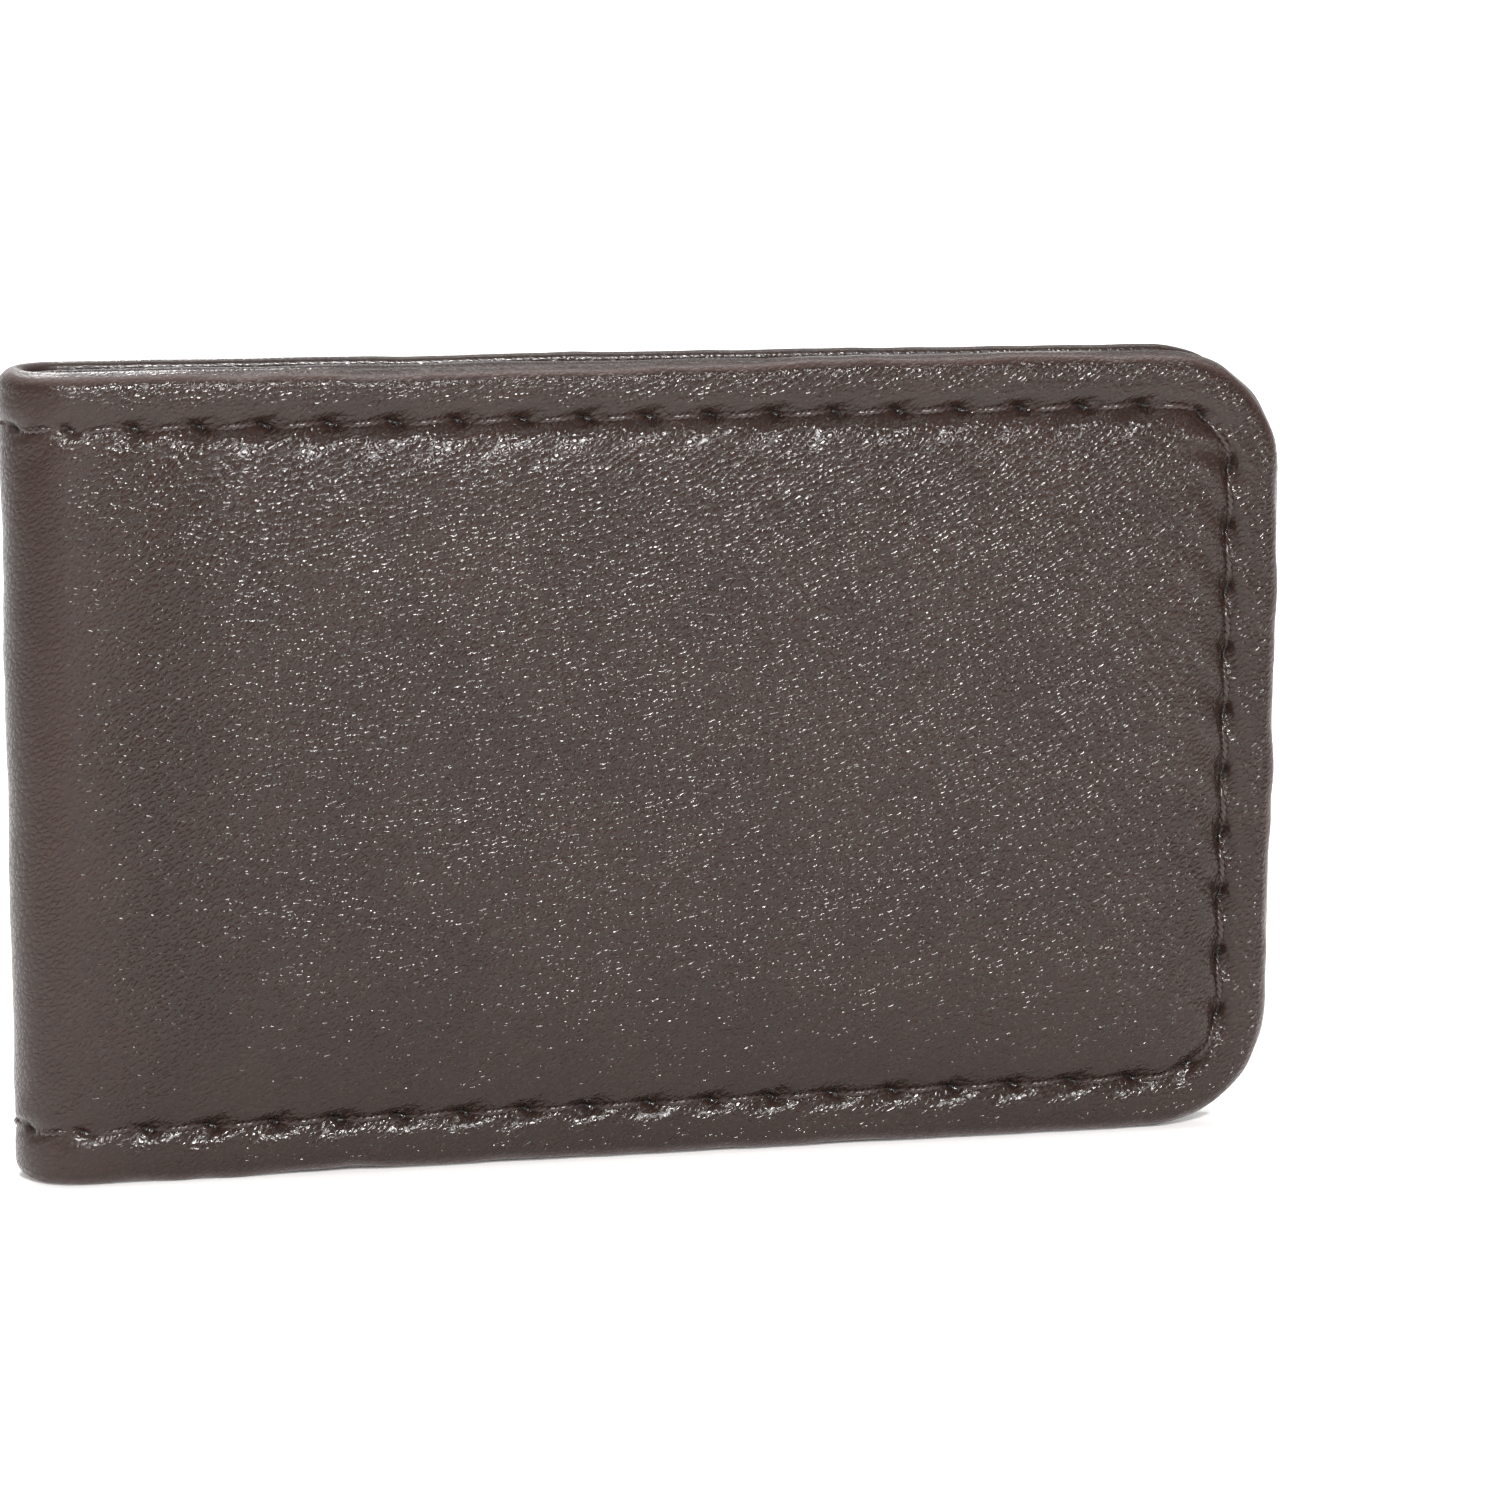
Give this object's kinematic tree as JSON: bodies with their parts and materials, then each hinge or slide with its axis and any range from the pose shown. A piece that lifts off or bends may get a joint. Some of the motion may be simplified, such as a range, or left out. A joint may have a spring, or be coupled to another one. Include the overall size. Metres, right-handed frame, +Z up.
{
  "type": "money clip",
  "caption": "Folding leather money clip: two padded, stitched flaps joined by a soft fold, with magnets in the flaps that hold banknotes between them.",
  "frame": {"origin": "middle of the closed clip, level with the lower edge it stands on", "axes": "+Z up along the fold, +X from the fold to the free ends, -Y out of the front flap's face, +Y out of the back flap's face"},
  "size_m": [0.0716, 0.0086, 0.045],
  "materials": {
    "cover_leather": "dark brown, fine pebble grain, satin",
    "lining_leather": "dark brown, smooth, satin",
    "thread": "bonded polyester sewing thread, dark brown",
    "board": "grey-brown fibre board, matt",
    "magnet": "nickel plated, bright",
    "tape": "woven nylon reinforcing tape, black",
    "foam": "thin closed foam padding, off-white, matt"
  },
  "bodies": {
    "back_flap": {"back_cover": "cover_leather", "back_foam_pad": "foam", "back_stiffener_board": "board", "back_upper_magnet": "magnet", "back_lower_magnet": "magnet", "back_reinforcing_tape": "tape", "back_lining": "lining_leather", "back_needle_thread": "thread", "back_bobbin_thread": "thread"},
    "fold_strip_1": {"fold_cover_1": "cover_leather", "fold_tape_1": "tape", "fold_lining_1": "lining_leather", "fold_needle_thread_1": "thread", "fold_bobbin_thread_1": "thread"},
    "fold_strip_2": {"fold_cover_2": "cover_leather", "fold_tape_2": "tape", "fold_lining_2": "lining_leather", "fold_needle_thread_2": "thread", "fold_bobbin_thread_2": "thread"},
    "fold_strip_3": {"fold_cover_3": "cover_leather", "fold_tape_3": "tape", "fold_lining_3": "lining_leather", "fold_needle_thread_3": "thread", "fold_bobbin_thread_3": "thread"},
    "front_flap": {"front_cover": "cover_leather", "front_foam_pad": "foam", "front_stiffener_board": "board", "front_upper_magnet": "magnet", "front_lower_magnet": "magnet", "front_reinforcing_tape": "tape", "front_lining": "lining_leather", "front_needle_thread": "thread", "front_bobbin_thread": "thread"}
  },
  "joints": [
    {"name": "fold_line_1", "type": "hinge", "parent": "fold_strip_1", "child": "back_flap", "pos_m": [-0.0336, 0.0031, 0.0225], "axis": [0, 0, 1], "range_deg": [-0.18, 45.46]},
    {"name": "fold_line_2", "type": "hinge", "parent": "fold_strip_2", "child": "fold_strip_1", "pos_m": [-0.0355, 0.00117, 0.0225], "axis": [0, 0, 1], "range_deg": [-0.18, 45.46]},
    {"name": "fold_line_3", "type": "hinge", "parent": "fold_strip_2", "child": "fold_strip_3", "pos_m": [-0.03546, -0.00154, 0.0225], "axis": [0, 0, -1], "range_deg": [-0.18, 45.46]},
    {"name": "fold_line_4", "type": "hinge", "parent": "fold_strip_3", "child": "front_flap", "pos_m": [-0.0335, -0.0034, 0.0225], "axis": [0, 0, -1], "range_deg": [-0.18, 45.46]}
  ],
  "couplings": [
    {"joint": "fold_line_1", "follows": "fold_line_2", "ratio": 1},
    {"joint": "fold_line_3", "follows": "fold_line_2", "ratio": 1},
    {"joint": "fold_line_4", "follows": "fold_line_2", "ratio": 1}
  ]
}
